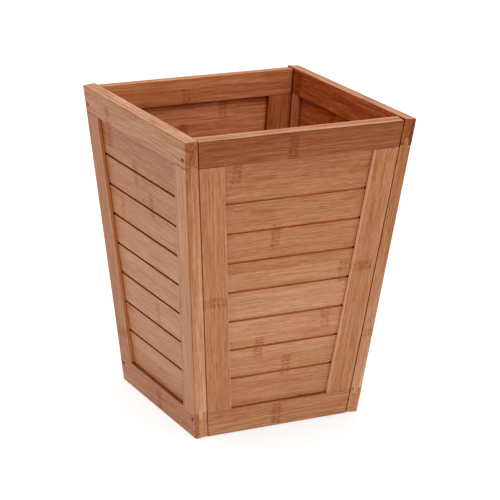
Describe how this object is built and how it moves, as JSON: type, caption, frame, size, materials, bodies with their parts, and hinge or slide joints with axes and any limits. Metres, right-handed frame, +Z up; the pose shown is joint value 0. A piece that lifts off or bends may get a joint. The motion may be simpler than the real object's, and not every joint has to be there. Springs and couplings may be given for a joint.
{
  "type": "wastebasket",
  "caption": "Tapered square open-topped wooden wastebasket with framed sides, grooved infill boards and a captured base board.",
  "frame": {"origin": "on the floor at the centre of the base's outline", "axes": "+Z up out of the open top; +X to the right and +Y to the back, seen from the front; the left and right sides cover the ends of the front and back"},
  "size_m": [0.247, 0.2412, 0.3124],
  "materials": {
    "rail": "satin lacquered bamboo, red-brown",
    "stile": "satin lacquered bamboo, caramel",
    "infill_board": "satin lacquered bamboo strips, caramel, with cut grooves",
    "base_board": "satin bamboo board",
    "screw": "dull zinc-plated steel"
  },
  "bodies": {
    "root": {"front_top_rail": "rail", "front_bottom_rail": "rail", "front_left_stile": "stile", "front_right_stile": "stile", "front_board": "infill_board", "back_top_rail": "rail", "back_bottom_rail": "rail", "back_left_stile": "stile", "back_right_stile": "stile", "back_board": "infill_board", "left_top_rail": "rail", "left_bottom_rail": "rail", "left_front_stile": "stile", "left_back_stile": "stile", "left_board": "infill_board", "right_top_rail": "rail", "right_bottom_rail": "rail", "right_front_stile": "stile", "right_back_stile": "stile", "right_board": "infill_board", "base_board": "base_board", "screws_left": "screw", "screws_right": "screw"}
  },
  "joints": []
}
